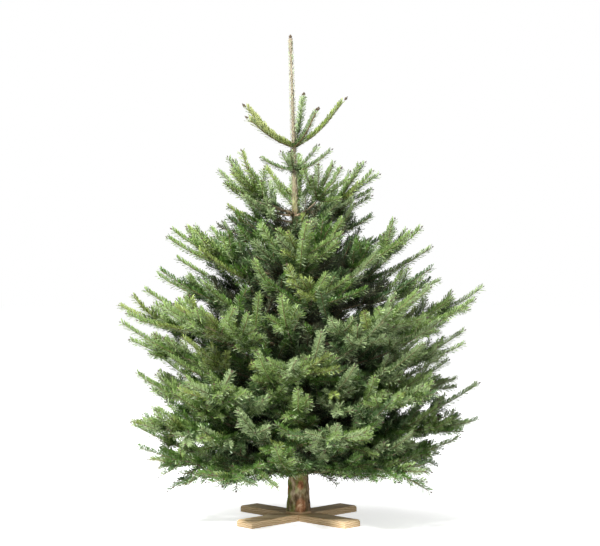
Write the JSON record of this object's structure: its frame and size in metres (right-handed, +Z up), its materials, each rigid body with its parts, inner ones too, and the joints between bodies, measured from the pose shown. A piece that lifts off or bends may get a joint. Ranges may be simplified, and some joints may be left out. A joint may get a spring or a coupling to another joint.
{
  "type": "christmas tree",
  "caption": "Cut fir for Christmas, about two metres tall, on a plain wooden cross stand: bare leader, upswept top shoots and broad layered boughs.",
  "frame": {"origin": "Middle of the stand's flat underside, on the floor under the trunk", "axes": "+Z up along the trunk; the fir's front faces -Y; +X is to the right seen from the front"},
  "size_m": [1.5997, 1.4945, 2.0326],
  "materials": {
    "bark": "rough grey-brown bark, mossy green in places",
    "pine_board": "planed, unfinished softwood",
    "fresh_needles": "glossy yellow-green needles, pale beneath",
    "needles": "glossy mid-green needles, pale beneath",
    "low_needles": "glossy deep-green needles, pale beneath"
  },
  "bodies": {
    "root": {"stand_lower_board": "pine_board", "stand_upper_board": "pine_board", "trunk": "bark", "top_shoot1": "fresh_needles", "top_shoot2": "fresh_needles", "top_shoot3": "fresh_needles", "top_shoot4": "fresh_needles", "top_shoot5": "fresh_needles", "whorl2_bough1": "bark", "whorl2_foliage1": "fresh_needles", "whorl2_bough2": "bark", "whorl2_foliage2": "fresh_needles", "whorl2_bough3": "bark", "whorl2_foliage3": "fresh_needles", "whorl2_bough4": "bark", "whorl2_foliage4": "fresh_needles", "whorl2_bough5": "bark", "whorl2_foliage5": "fresh_needles", "spur2_foliage1": "fresh_needles", "spur2_foliage2": "fresh_needles", "spur2_foliage3": "fresh_needles", "spur2_foliage4": "fresh_needles", "whorl3_bough1": "bark", "whorl3_foliage1": "needles", "whorl3_bough2": "bark", "whorl3_foliage2": "needles", "whorl3_bough3": "bark", "whorl3_foliage3": "needles", "whorl3_bough4": "bark", "whorl3_foliage4": "needles", "whorl3_bough5": "bark", "whorl3_foliage5": "needles", "spur3_foliage1": "needles", "spur3_foliage2": "needles", "spur3_foliage3": "needles", "spur3_foliage4": "needles", "whorl4_foliage1": "needles", "whorl4_foliage2": "needles", "whorl4_foliage3": "needles", "whorl4_foliage4": "needles", "whorl4_foliage5": "needles", "spur4_foliage1": "needles", "spur4_foliage2": "needles", "spur4_foliage3": "needles", "spur4_foliage4": "needles", "whorl5_foliage1": "low_needles", "whorl5_foliage2": "low_needles", "whorl5_foliage3": "low_needles", "whorl5_foliage4": "low_needles", "whorl5_foliage5": "low_needles", "whorl6_foliage1": "low_needles", "whorl6_foliage2": "low_needles", "whorl6_foliage3": "low_needles", "whorl6_foliage4": "low_needles", "whorl6_foliage5": "low_needles", "whorl7_foliage1": "low_needles", "whorl7_foliage2": "low_needles", "whorl7_foliage3": "low_needles", "whorl7_foliage4": "low_needles", "whorl7_foliage5": "low_needles"}
  },
  "joints": []
}
